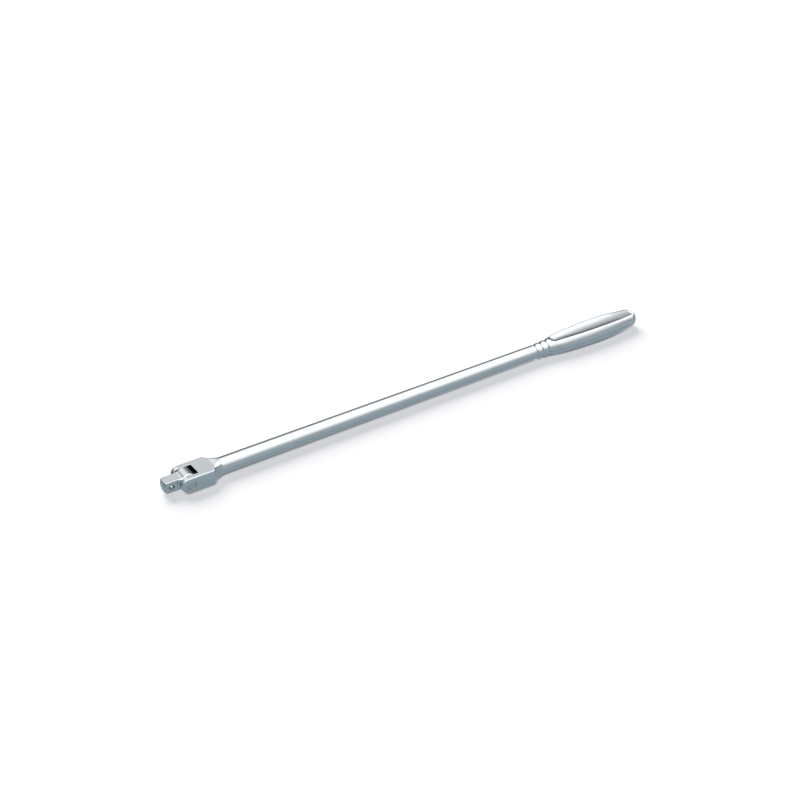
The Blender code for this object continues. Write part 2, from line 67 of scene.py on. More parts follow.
# ---------------------------------------------------------------- fork and neck
FORK_HALF_WIDTH = 14.45 * MM
FORK_HALF_HEIGHT = 7.9 * MM
FORK_EDGE = 1.0 * MM
FORK_BACK = 24.7 * MM
NOSE_CORNER_LENGTH = 5.0 * MM
NOSE_CORNER_WIDTH = 4.4 * MM
SLOT_HALF_WIDTH = 8.45 * MM
SLOT_BACK = 10.3 * MM
SHOULDER_RADIUS = 2.6 * MM
SHOULDER_TURN = math.radians(58.0)
NECK_END = 38.5 * MM
NECK_RISE_START = 0.25                            # share of the neck before its height starts to grow
NECK_RISE_SHARE = 0.5
NECK_ROUNDING_POWER = 1.2
SLOT_BEVEL = 0.35 * MM
RECESS_BEVEL = 0.15 * MM
NOSE_PLAIN_LENGTH = 0.6 * MM                      # the slot's edges stay sharp on the very front of the ears
NOSE_PLAIN_HEIGHT = 0.5 * MM
EDGE_HEIGHT_SHARE = 0.7                           # most of the nose's height and wall that its edges may take
EDGE_WALL_SHARE = 0.8

# ---------------------------------------------------------------- shaft, grooves and grip
SHAFT_RADIUS_FORK = 8.7 * MM
SHAFT_RADIUS_GRIP = 7.9 * MM
SHAFT_END = 427.1 * MM
COLLAR_START = 430.0 * MM
COLLAR_END = 450.0 * MM
COLLAR_START_RADIUS = 7.95 * MM
COLLAR_END_RADIUS = 9.2 * MM
GROOVE_COUNT = 3
GROOVE_FIRST = 433.4 * MM
GROOVE_PITCH = 7.7 * MM
GROOVE_HALF_WIDTH = 3.3 * MM
GROOVE_DEPTH = 0.85 * MM
GRIP_STATIONS = [                                 # place, half width, half height
    (452.4 * MM, 9.6 * MM, 9.35 * MM),
    (456.6 * MM, 10.4 * MM, 9.9 * MM),
    (467.6 * MM, 12.5 * MM, 11.0 * MM),
    (491.6 * MM, 14.2 * MM, 12.1 * MM),
    (516.6 * MM, 15.0 * MM, 12.7 * MM),
    (541.6 * MM, 13.9 * MM, 11.9 * MM),
    (564.6 * MM, 11.4 * MM, 9.8 * MM),
]
DOME_POWER = 2.3
DOME_TURN = math.radians(82.0)

# ---------------------------------------------------------------- dished panels, on top and underneath
PANEL_START = 453.1 * MM
PANEL_END = 570.6 * MM
PANEL_FLOOR = 7.75 * MM                           # over the bar's axis, where the grip is widest
PANEL_FLOOR_START_FALL = 0.6 * MM                 # what the floor drops by, towards each end
PANEL_FLOOR_END_FALL = 1.0 * MM
PANEL_LEAST_DEPTH = 0.5 * MM
PANEL_NECK_HALF_WIDTH = 5.6 * MM
PANEL_TIP_HALF_WIDTH = 7.6 * MM
PANEL_BELLY = 3.8 * MM
PANEL_START_SLOPE = 5.5 * MM
PANEL_END_SLOPE = 2.4 * MM
PANEL_WALL_POWER = 2
PANEL_DISH_POWER = 2.4
PANEL_RIM_BLEND = 1.5 * MM
PANEL_MOST_SHARE = 0.86                           # of the grip's half width
RIM_GATHER = 1.5                                  # how closely the points crowd at the rim

# ---------------------------------------------------------------- drive head
SQUARE_HALF = 6.35 * MM
SQUARE_EDGE = 0.55 * MM
TIP_LENGTH = 3.3 * MM
TIP_RADIUS = 4.6 * MM
TIP_BULGE_POWER = 0.75
TIP_SPACING_POWER = 1.3
FLARE_START = -11.5 * MM
FLARE_END = -7.5 * MM
TANG_FILLET = 3.0 * MM
TANG_EDGE = 1.7 * MM
TANG_EDGE_MOST = 0.8                              # of the tang's half height
TANG_ARC_START = -2.0 * MM
MOUTH_RADIUS = 3.1 * MM
MOUTH_DEPTH = 0.5 * MM
MOUTH_BEVEL = 0.18 * MM
POCKET_END = 4.2 * MM

# ---------------------------------------------------------------- pin, balls and springs
PIN_RADIUS = 4.0 * MM
PIN_HEAD_RADIUS = 4.9 * MM
PIN_HEAD_THICKNESS = 0.9 * MM
PIN_HEAD_SINK = 0.15 * MM
PIN_HEAD_GAP = 0.14 * MM
PIN_HEAD_DOME = 0.35 * MM
PIN_HEAD_FULLNESS = 0.96                          # 1.0 would be a half ellipse
PIN_DIMPLE_RADIUS = 1.7 * MM
PIN_DIMPLE_DEPTH = 0.5 * MM
SWIVEL_POCKET_END = 24.0 * MM
SPRING_WIRE = 0.3 * MM
SPRING_RADIUS = 1.5 * MM
SPRING_PITCH = 4.2                                # wire radii from turn to turn
SPRING_END_SHARE = 0.15                           # how much closer the turns lie at the ends

# ---------------------------------------------------------------- how finely the surfaces are divided
SIDE_POINTS = 13                                  # on a quarter of a section, from its side to the panel's rim
TOP_POINTS = 13                                   # and from the rim to its top
NOSE_STEPS = 21
NOSE_FIRST_TURN = math.radians(4.0)
SHOULDER_STEPS = 8
NECK_STEPS = 22
SHAFT_STEPS = 24
GROOVE_STEPS = 9                                  # on each side of a groove's middle
GRIP_STEPS = 150
DOME_STEPS = 36
TIP_STEPS = 12
FLARE_STEPS = 12
FILLET_STEPS = 22
TANG_STEPS = 24
TANG_FIRST_TURN = math.radians(-12.0)
TANG_STEP_TURN = math.radians(4.0)
DIMPLE_STEPS = 8
PIN_HEAD_STEPS = 12
ROUND_SIDES = 96
POCKET_SIDES = 48
BALL_SUBDIVISIONS = 5
TURN_STEPS = 32
WIRE_STEPS = 4
NEAR = 0.01 * MM                                  # counts as lying on a face
WELD = 0.002 * MM                                 # points this close are one


# ---------------------------------------------------------------- mesh helpers
def object_from(name, bm):
    bmesh.ops.recalc_face_normals(bm, faces=bm.faces)
    mesh = bpy.data.meshes.new(name)
    bm.to_mesh(mesh)
    bm.free()
    piece = bpy.data.objects.new(name, mesh)
    bpy.context.scene.collection.objects.link(piece)
    return piece


def loft(name, rings):
    """Closed surface through rings of the same number of points, with a flat cap at each end."""
    bm = bmesh.new()
    loops = [[bm.verts.new(point) for point in ring] for ring in rings]
    for loop, following in zip(loops, loops[1:]):
        for i, corner in enumerate(loop):
            j = (i + 1) % len(loop)
            bm.faces.new((corner, loop[j], following[j], following[i]))
    bm.faces.new(loops[0])
    bm.faces.new(loops[-1])
    return object_from(name, bm)


def drum(name, radius, start, end, axis, centre=(0.0, 0.0, 0.0), sides=ROUND_SIDES):
    """Cylinder from start to end along one axis."""
    bm = bmesh.new()
    bmesh.ops.create_cone(bm, cap_ends=True, segments=sides, radius1=radius, radius2=radius, depth=end - start)
    turn = Matrix.Rotation(math.pi / 2, 4, "Y" if axis == "X" else "X")
    shift = Vector((1.0, 0.0, 0.0) if axis == "X" else (0.0, 1.0, 0.0)) * (start + end) / 2
    bm.transform(Matrix.Translation(Vector(centre) + shift) @ turn)
    return object_from(name, bm)


def block(name, low, high):
    bm = bmesh.new()
    bmesh.ops.create_cube(bm, size=1.0)
    low, high = Vector(low), Vector(high)
    bm.transform(Matrix.Translation((low + high) / 2) @ Matrix.Diagonal((*(high - low), 1.0)))
    return object_from(name, bm)


def turned(name, profile, sides=ROUND_SIDES):
    """Solid of revolution about Y from (radius, y) points that start and end on the axis."""
    bm = bmesh.new()
    loops = []
    for radius, y in profile[1:-1]:
        loop = []
        for i in range(sides):
            angle = 2 * math.pi * i / sides
            loop.append(bm.verts.new((radius * math.cos(angle), y, radius * math.sin(angle))))
        loops.append(loop)
    first = bm.verts.new((0.0, profile[0][1], 0.0))
    last = bm.verts.new((0.0, profile[-1][1], 0.0))
    for i in range(sides):
        j = (i + 1) % sides
        bm.faces.new((first, loops[0][i], loops[0][j]))
        bm.faces.new((last, loops[-1][j], loops[-1][i]))
        for loop, following in zip(loops, loops[1:]):
            bm.faces.new((loop[i], following[i], following[j], loop[j]))
    return object_from(name, bm)


def bake_modifiers(piece):
    """Makes the modifiers' result the piece's own mesh."""
    depsgraph = bpy.context.evaluated_depsgraph_get()
    mesh = bpy.data.meshes.new_from_object(piece.evaluated_get(depsgraph))
    piece.modifiers.clear()
    piece.data = mesh


def carve(piece, cutters):
    """Cuts the cutters out of the piece, and removes them."""
    for cutter in cutters:
        cut = piece.modifiers.new(cutter.name, "BOOLEAN")
        cut.operation = "DIFFERENCE"
        cut.solver = "EXACT"
        cut.object = cutter
    bake_modifiers(piece)
    for cutter in cutters:
        bpy.data.objects.remove(cutter)


def round_edges(piece, wanted, width, segments=3, least_angle=35.0):
    """Rounds the sharp edges whose middle the function wanted picks."""
    bm = bmesh.new()
    bm.from_mesh(piece.data)
    bmesh.ops.remove_doubles(bm, verts=bm.verts, dist=WELD)
    edges = []
    for edge in bm.edges:
        if len(edge.link_faces) == 2 and math.degrees(edge.calc_face_angle()) > least_angle:
            if wanted((edge.verts[0].co + edge.verts[1].co) / 2):
                edges.append(edge)
    bmesh.ops.bevel(bm, geom=edges, offset=width, offset_type="OFFSET", segments=segments, profile=0.5,
                    affect="EDGES", clamp_overlap=False)
    bm.to_mesh(piece.data)
    bm.free()


def finish_piece(piece, body, material, replaced, sharp_angle=38.0):
    """Smooth shading, place, body and material of a piece."""
    piece.data.transform(Matrix.Translation(PIN))
    piece.data.shade_smooth()
    piece.data.set_sharp_from_angle(angle=math.radians(sharp_angle))
    even = piece.modifiers.new("flat_faces_stay_flat", "WEIGHTED_NORMAL")
    even.keep_sharp = True
    piece.data.materials.clear()
    piece.data.materials.append(material)
    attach(piece, body)
    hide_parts(replaced)
    return piece


# ---------------------------------------------------------------- sections of the bar
def smooth_step(t):
    t = min(max(t, 0.0), 1.0)
    return t * t * (3.0 - 2.0 * t)


def section(x, half_width, half_height, corner_width, corner_height, split=0.5, gather=1.0):
    """Rectangle with elliptic corners across the bar; the points gather at split, a share of each corner's turn."""
    quarter = [split * (1.0 - (1.0 - (i + 0.5) / (SIDE_POINTS - 0.5)) ** gather) for i in range(SIDE_POINTS)]
    quarter += [split + (1.0 - split) * ((i + 1.0) / (TOP_POINTS + 0.5)) ** gather for i in range(TOP_POINTS)]
    points = []
    for side_y, side_z in ((1, 1), (-1, 1), (-1, -1), (1, -1)):
        shares = quarter if side_y == side_z else reversed(quarter)
        for share in shares:
            turn = share * math.pi / 2
            y = half_width - corner_width * (1.0 - math.cos(turn))
            z = half_height - corner_height * (1.0 - math.sin(turn))
            points.append(Vector((x, side_y * y, side_z * z)))
    return points


def oval(x, half_width, half_height, split=0.5, gather=1.0):
    return section(x, half_width, half_height, half_width, half_height, split, gather)


def nose_sections():
    """Both ears' half-round front, in one piece until the slot is cut."""
    rings = []
    nose_start = FORK_HALF_HEIGHT - NOSE_END
    for i in range(NOSE_STEPS + 1):
        turn = NOSE_FIRST_TURN + (math.pi / 2 - NOSE_FIRST_TURN) * i / NOSE_STEPS
        x = nose_start - FORK_HALF_HEIGHT * math.cos(turn)
        half_height = FORK_HALF_HEIGHT * math.sin(turn)
        share = max(NOSE_CORNER_LENGTH - NOSE_END - x, 0.0) / NOSE_CORNER_LENGTH
        half_width = FORK_HALF_WIDTH - NOSE_CORNER_WIDTH * (1.0 - math.sqrt(max(1.0 - share**2, 0.0)))
        wall = half_width - SLOT_HALF_WIDTH
        corner = min(FORK_EDGE, EDGE_HEIGHT_SHARE * half_height, EDGE_WALL_SHARE * wall)
        rings.append(section(x, half_width, half_height, corner, corner))
    rings.append(section(FORK_BACK, FORK_HALF_WIDTH, FORK_HALF_HEIGHT, FORK_EDGE, FORK_EDGE))
    return rings


def neck_sections():
    """The fork's square shape turns into the round shaft."""
    outline = []
    for i in range(1, SHOULDER_STEPS + 1):
        angle = SHOULDER_TURN * i / SHOULDER_STEPS
        outline.append((FORK_BACK + SHOULDER_RADIUS * math.sin(angle),
                        FORK_HALF_WIDTH - SHOULDER_RADIUS * (1.0 - math.cos(angle))))
    start = Vector(outline[-1])
    bend = Vector((start.x + (start.y - SHAFT_RADIUS_FORK) / math.tan(SHOULDER_TURN), SHAFT_RADIUS_FORK))
    end = Vector((NECK_END, SHAFT_RADIUS_FORK))
    for i in range(1, NECK_STEPS + 1):
        t = i / NECK_STEPS
        outline.append(tuple((1 - t)**2 * start + 2 * t * (1 - t) * bend + t**2 * end))
    rings = []
    for x, half_width in outline:
        along = (x - FORK_BACK) / (NECK_END - FORK_BACK)
        rise = smooth_step((along - NECK_RISE_START) / NECK_RISE_SHARE)
        half_height = FORK_HALF_HEIGHT + (SHAFT_RADIUS_FORK - FORK_HALF_HEIGHT) * rise
        rounding = along**NECK_ROUNDING_POWER
        rings.append(section(x, half_width, half_height,
                             FORK_EDGE + (half_width - FORK_EDGE) * rounding,
                             FORK_EDGE + (half_height - FORK_EDGE) * rounding))
    return rings


def shaft_sections():
    rings = []
    for i in range(1, SHAFT_STEPS + 1):
        share = i / SHAFT_STEPS
        x = NECK_END + (SHAFT_END - NECK_END) * share
        radius = SHAFT_RADIUS_FORK + (SHAFT_RADIUS_GRIP - SHAFT_RADIUS_FORK) * share
        rings.append(oval(x, radius, radius))
    return rings


def groove_sections():
    """Three turned grooves with soft lips, in a collar that widens towards the grip."""
    widening = (COLLAR_END_RADIUS - COLLAR_START_RADIUS) / (COLLAR_END - COLLAR_START)
    rings = []
    for number in range(GROOVE_COUNT):
        centre = GROOVE_FIRST + number * GROOVE_PITCH
        for i in range(-GROOVE_STEPS, GROOVE_STEPS + 1):
            share = i / GROOVE_STEPS
            x = centre + share * GROOVE_HALF_WIDTH
            depth = GROOVE_DEPTH * (0.5 + 0.5 * math.cos(math.pi * share))
            radius = COLLAR_START_RADIUS + (x - COLLAR_START) * widening - depth
            rings.append(oval(x, radius, radius))
    return rings


def grip_size(x):
    """Half width and half height of the grip at x, on a smooth curve through its stations."""
    dome_start = GRIP_STATIONS[-1][0]
    if x > dome_start:
        turn = math.asin(min((x - dome_start) / (BAR_END - dome_start), 1.0) * math.sin(DOME_TURN))
        shrink = math.cos(turn) ** (2.0 / DOME_POWER)
        return GRIP_STATIONS[-1][1] * shrink, GRIP_STATIONS[-1][2] * shrink
    last = len(GRIP_STATIONS) - 2
    index = 0
    while index < last and x > GRIP_STATIONS[index + 1][0]:
        index += 1
    before = GRIP_STATIONS[max(index - 1, 0)]
    start, end = GRIP_STATIONS[index], GRIP_STATIONS[index + 1]
    after = GRIP_STATIONS[min(index + 2, last + 1)]
    step = end[0] - start[0]
    t = (x - start[0]) / step
    sizes = []
    for k in (1, 2):
        slope_start = (end[k] - before[k]) / (end[0] - before[0]) * step
        slope_end = (after[k] - start[k]) / (after[0] - start[0]) * step
        sizes.append((2 * t**3 - 3 * t**2 + 1) * start[k] + (t**3 - 2 * t**2 + t) * slope_start
                     + (3 * t**2 - 2 * t**3) * end[k] + (t**3 - t**2) * slope_end)
    return sizes


def rim_half_width(x):
    """Half width of the panel at x."""
    share = (x - PANEL_START) / (PANEL_END - PANEL_START) * 2.0 - 1.0
    share = min(max(share, -1.0), 1.0)
    ends = PANEL_NECK_HALF_WIDTH + (PANEL_TIP_HALF_WIDTH - PANEL_NECK_HALF_WIDTH) * (1.0 + share) / 2
    return ends + PANEL_BELLY * math.cos(math.pi / 2 * share)


def oval_level(x, y):
    """Height of the plain oval grip over the bar's axis."""
    half_width, half_height = grip_size(x)
    return half_height * math.sqrt(max(1.0 - (y / half_width) ** 2, 0.0))


def floor_level(x):
    """Height of the panel's floor over the bar's axis, along its middle."""
    widest = max(GRIP_STATIONS, key=lambda station: station[1])[0]
    if x < widest:
        return PANEL_FLOOR - PANEL_FLOOR_START_FALL * ((widest - x) / (widest - PANEL_START)) ** 2
    return PANEL_FLOOR - PANEL_FLOOR_END_FALL * ((x - widest) / (PANEL_END - widest)) ** 2


def dish_level(x, y):
    """Height over the bar's axis of the hollow that the panel is cut to; it runs on beyond the panel's rim."""
    rim = rim_half_width(x)
    floor = floor_level(x)
    depth = max(oval_level(x, rim) - floor, PANEL_LEAST_DEPTH)
    level = floor + depth * (abs(y) / rim) ** PANEL_DISH_POWER
    for end, inward, slope in ((PANEL_START, x - PANEL_START, PANEL_START_SLOPE),
                               (PANEL_END, PANEL_END - x, PANEL_END_SLOPE)):
        near_end = max(1.0 - inward / slope, 0.0)
        level += (oval_level(end, 0.0) - floor_level(end)) * near_end**PANEL_WALL_POWER
    return level


def soft_lower(first, second, blend):
    """The lower of two heights, with a rounded change from one to the other."""
    share = min(max(0.5 + 0.5 * (second - first) / blend, 0.0), 1.0)
    return second + (first - second) * share - blend * share * (1.0 - share)


def grip_section(x):
    half_width, half_height = grip_size(x)
    rim = min(rim_half_width(x) / half_width, PANEL_MOST_SHARE)
    ring = oval(x, half_width, half_height, math.acos(rim) / (math.pi / 2), RIM_GATHER)
    if x > PANEL_START - PANEL_START_SLOPE:
        for point in ring:
            level = soft_lower(abs(point.z), dish_level(x, point.y), PANEL_RIM_BLEND)
            point.z = math.copysign(max(level, 0.0), point.z)
    return ring


def grip_sections():
    dome_start = GRIP_STATIONS[-1][0]
    start = GRIP_STATIONS[0][0]
    places = [start + (dome_start - start) * i / GRIP_STEPS for i in range(GRIP_STEPS + 1)]
    for i in range(1, DOME_STEPS + 1):
        turn = DOME_TURN * i / DOME_STEPS
        places.append(dome_start + (BAR_END - dome_start) * math.sin(turn) / math.sin(DOME_TURN))
    return [grip_section(x) for x in places]


# ---------------------------------------------------------------- pieces
def make_bar(material):
    rings = nose_sections() + neck_sections() + shaft_sections() + groove_sections() + grip_sections()
    bar = loft("bar_forging", rings)
    front = -2 * NOSE_END
    far = 2 * FORK_HALF_WIDTH
    recess = FORK_HALF_WIDTH - PIN_HEAD_SINK - PIN_HEAD_THICKNESS - GAP
    recess_radius = PIN_HEAD_RADIUS + PIN_HEAD_GAP
    pocket_radius = (SWIVEL_BALL_HIGH.x - SWIVEL_BALL_LOW.x) / 2 + GAP
    carve(bar, [
        block("slot", (front, -SLOT_HALF_WIDTH, -far), (SLOT_BACK, SLOT_HALF_WIDTH, far)),
        drum("pin_bore", PIN_RADIUS + GAP, -far, far, "Y"),
        drum("near_recess", recess_radius, -far, -recess, "Y"),
        drum("far_recess", recess_radius, recess, far, "Y"),
        # Known fault: recalc_face_normals turns this drum inside out at POCKET_SIDES, so it cuts nothing and
        # the swivel ball and its spring sit in solid metal. At ROUND_SIDES the drum comes out the right way.
        drum("swivel_pocket", pocket_radius, 0.0, SWIVEL_POCKET_END, "X", sides=POCKET_SIDES),
    ])

    def slot_edge(middle):
        on_wall = abs(abs(middle.y) - SLOT_HALF_WIDTH) < NEAR and middle.x < SLOT_BACK
        on_back = abs(middle.x - SLOT_BACK) < NEAR and abs(middle.z) > FORK_HALF_HEIGHT - NEAR
        in_bore = math.hypot(middle.x, middle.z) < PIN_RADIUS + 2 * GAP
        at_nose = middle.x < NOSE_PLAIN_LENGTH - NOSE_END or abs(middle.z) < NOSE_PLAIN_HEIGHT
        return (on_wall and not in_bore and not at_nose) or on_back

    def recess_edge(middle):
        on_side = abs(abs(middle.y) - FORK_HALF_WIDTH) < NEAR
        return on_side and math.hypot(middle.x, middle.z) < recess_radius + GAP

    round_edges(bar, slot_edge, SLOT_BEVEL)
    round_edges(bar, recess_edge, RECESS_BEVEL, segments=2)
    return finish_piece(bar, "handle", material, "handle_bar")


def head_half_height(x):
    """The square's flat runs over a hollow fillet onto the round tang."""
    fillet_start = -math.sqrt((TANG_RADIUS + TANG_FILLET) ** 2 - (SQUARE_HALF + TANG_FILLET) ** 2)
    fillet_end = fillet_start * TANG_RADIUS / (TANG_RADIUS + TANG_FILLET)
    if x <= fillet_start:
        return SQUARE_HALF
    if x < fillet_end:
        return SQUARE_HALF + TANG_FILLET - math.sqrt(TANG_FILLET**2 - (x - fillet_start) ** 2)
    return math.sqrt(max(TANG_RADIUS**2 - x**2, 0.0))


def tip_sections():
    """The square's tip, turned down to a round face."""
    diagonal = math.sqrt(2.0) * SQUARE_HALF
    rings = []
    for i in range(TIP_STEPS + 1):
        share = i / TIP_STEPS
        radius = TIP_RADIUS + (diagonal - TIP_RADIUS) * math.sin(share * math.pi / 2) ** TIP_BULGE_POWER
        half = min(radius, SQUARE_HALF)
        corner = max((diagonal - radius) / (math.sqrt(2.0) - 1.0), SQUARE_EDGE)
        corner = min(corner, half)
        rings.append(section(DRIVE_END + TIP_LENGTH * share**TIP_SPACING_POWER, half, half, corner, corner))
    return rings


def make_head(material):
    """Square drive, turned down at its tip, which flares into the round tang with its broadly rounded edges."""
    rings = tip_sections()
    places = [FLARE_START + (FLARE_END - FLARE_START) * i / FLARE_STEPS for i in range(FLARE_STEPS + 1)]
    places += [FLARE_END + (TANG_ARC_START - FLARE_END) * i / FILLET_STEPS for i in range(1, FILLET_STEPS + 1)]
    places += [TANG_RADIUS * math.sin(TANG_FIRST_TURN + TANG_STEP_TURN * i) for i in range(TANG_STEPS + 1)]
    for x in places:
        flare = smooth_step((x - FLARE_START) / (FLARE_END - FLARE_START))
        half_width = SQUARE_HALF + (TANG_HALF_WIDTH - SQUARE_HALF) * flare
        half_height = head_half_height(x)
        edge = min(SQUARE_EDGE + (TANG_EDGE - SQUARE_EDGE) * flare, TANG_EDGE_MOST * half_height)
        rings.append(section(x, half_width, half_height, edge, edge))
    head = loft("square_drive", rings)
    ball_radius = (DRIVE_BALL_HIGH.x - DRIVE_BALL_LOW.x) / 2
    ball_x = (DRIVE_BALL_HIGH.x + DRIVE_BALL_LOW.x) / 2 - PIN.x
    far = 2 * FORK_HALF_WIDTH
    mouth_floor = MOUTH_DEPTH - SQUARE_HALF
    carve(head, [
        drum("pin_bore", PIN_RADIUS + GAP, -far, far, "Y"),
        drum("ball_pocket", ball_radius + GAP, -far, POCKET_END, "Y", (ball_x, 0.0, 0.0)),
        drum("ball_mouth", MOUTH_RADIUS, -far, mouth_floor, "Y", (ball_x, 0.0, 0.0)),
    ])

    def mouth_edge(middle):
        return abs(middle.y + SQUARE_HALF) < NEAR and math.hypot(middle.x - ball_x, middle.z) < MOUTH_RADIUS + GAP

    round_edges(head, mouth_edge, MOUTH_BEVEL, segments=2)
    return finish_piece(head, "head", material, "drive_head")


def make_pin(material):
    """Riveted pin: a plain shank, and in each ear a low domed head with a struck dimple."""
    outer = FORK_HALF_WIDTH - PIN_HEAD_SINK
    under = outer - PIN_HEAD_THICKNESS
    half = [(0.0, outer - PIN_DIMPLE_DEPTH)]
    for i in range(1, DIMPLE_STEPS + 1):
        share = i / DIMPLE_STEPS
        half.append((PIN_DIMPLE_RADIUS * share, outer - PIN_DIMPLE_DEPTH * (0.5 + 0.5 * math.cos(math.pi * share))))
    for i in range(1, PIN_HEAD_STEPS + 1):
        share = i / PIN_HEAD_STEPS
        radius = PIN_DIMPLE_RADIUS + (PIN_HEAD_RADIUS - PIN_DIMPLE_RADIUS) * share
        half.append((radius, outer - PIN_HEAD_DOME * (1.0 - math.sqrt(1.0 - PIN_HEAD_FULLNESS * share**2))))
    half += [(PIN_HEAD_RADIUS, under), (PIN_RADIUS, under)]
    profile = half + [(radius, -y) for radius, y in reversed(half)]
    pin = turned("riveted_pin", profile)
    return finish_piece(pin, "handle", material, "hinge_pin")


def make_ball(name, node, body, material):
    low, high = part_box(node)
    bm = bmesh.new()
    bmesh.ops.create_icosphere(bm, subdivisions=BALL_SUBDIVISIONS, radius=(high.x - low.x) / 2)
    bm.transform(Matrix.Translation((low + high) / 2 - PIN))
    return finish_piece(object_from(name, bm), body, material, node)


def make_spring(name, node, body, axis, material):
    """Compression spring with closed ends, in the length that the node takes up."""
    low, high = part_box(node)
    middle = (low + high) / 2 - PIN
    along = "XYZ".index(axis)
    length = high[along] - low[along] - 2 * SPRING_WIRE
    steps = TURN_STEPS * round(length / (SPRING_PITCH * SPRING_WIRE))
    curve = bpy.data.curves.new(name, "CURVE")
    curve.dimensions = "3D"
    curve.bevel_depth = SPRING_WIRE
    curve.bevel_resolution = WIRE_STEPS
    curve.use_fill_caps = True
    spline = curve.splines.new("POLY")
    spline.points.add(steps)
    for i, point in enumerate(spline.points):
        angle = 2 * math.pi * i / TURN_STEPS
        share = i / steps
        rise = length * (share + SPRING_END_SHARE * (smooth_step(share) - share) - 0.5)
        across = [SPRING_RADIUS * math.cos(angle), SPRING_RADIUS * math.sin(angle)]
        place = [rise if k == along else across.pop() for k in range(3)]
        point.co = (*(Vector(place) + middle), 1.0)
    coil = bpy.data.objects.new(name + "_curve", curve)
    bpy.context.scene.collection.objects.link(coil)
    depsgraph = bpy.context.evaluated_depsgraph_get()
    mesh = bpy.data.meshes.new_from_object(coil.evaluated_get(depsgraph))
    bpy.data.objects.remove(coil)
    bm = bmesh.new()
    bm.from_mesh(mesh)
    bmesh.ops.remove_doubles(bm, verts=bm.verts, dist=WELD)
    return finish_piece(object_from(name, bm), body, material, node)


# ---------------------------------------------------------------- materials
CLOUD_SCALE = 55.0                                # differences in the polish, in clouds a few centimetres long
CLOUD_DETAIL = 4.0
CLOUD_SHARE = 0.55
STREAK_DETAIL = 6.0
STREAK_SHARE = 0.45
CLOUD_TINT = 0.04
POLISH_RANGE = (0.3, 0.7)
ROUGHNESS_SPREAD = 0.18
SCRATCH_SLANT = (0.0, 0.0, math.radians(14.0))
SCRATCH_STRETCH = (35.0, 1100.0, 1100.0)
SCRATCH_DETAIL = 2.0
SCRATCH_RANGE = (0.64, 0.70)
SCRATCH_ROUGHNESS = 0.10
EDGE_RANGE = (0.54, 0.64)                         # of the pointiness at an edge
EDGE_WEAR_ROUGHNESS = 0.12
EDGE_WEAR_BRIGHTNESS = 1.22
# painted shade: ambient occlusion darkens the metal's colour in its corners, slots and grooves
CREVICE_REACH = 5.0 * MM
CREVICE_SAMPLES = 8
CREVICE_RANGE = (0.12, 0.62)
CREVICE_PAINTED_SHADE = 0.06
BUMP_HEIGHT = 0.02 * MM


class Tree:
    """The nodes of a material or a world."""

    def __init__(self, owner):
        owner.use_nodes = True
        self.nodes = owner.node_tree.nodes
        self.links = owner.node_tree.links

    def feed(self, node, inputs):
        """Links each input that is given as a socket, and sets the others."""
        for name, value in inputs.items():
            if isinstance(value, bpy.types.NodeSocket):
                self.links.new(value, node.inputs[name])
            else:
                node.inputs[name].default_value = value

    def add(self, kind, inputs=None, **settings):
        node = self.nodes.new("ShaderNode" + kind)
        for name, value in settings.items():
            setattr(node, name, value)
        self.feed(node, inputs or {})
        return node

    def noise(self, vector, scale, detail):
        """Soft random value at each place."""
        return self.add("TexNoise", {"Vector": vector, "Scale": scale, "Detail": detail}).outputs["Fac"]

    def arithmetic(self, operation, *values):
        return self.add("Math", dict(enumerate(values)), operation=operation).outputs["Value"]

    def ramp(self, value, source, target=(0.0, 1.0), interpolation="LINEAR"):
        """Value, mapped from the source range onto the target range."""
        inputs = {"Value": value, "From Min": source[0], "From Max": source[1],
                  "To Min": target[0], "To Max": target[1]}
        return self.add("MapRange", inputs, interpolation_type=interpolation).outputs["Result"]

    def blend(self, factor, first, second):
        return self.add("Mix", {"Factor": factor, "A": first, "B": second}, data_type="RGBA").outputs["Result"]


def shade_of(colour, brightness):
    return (*[min(part * brightness, 1.0) for part in colour], 1.0)


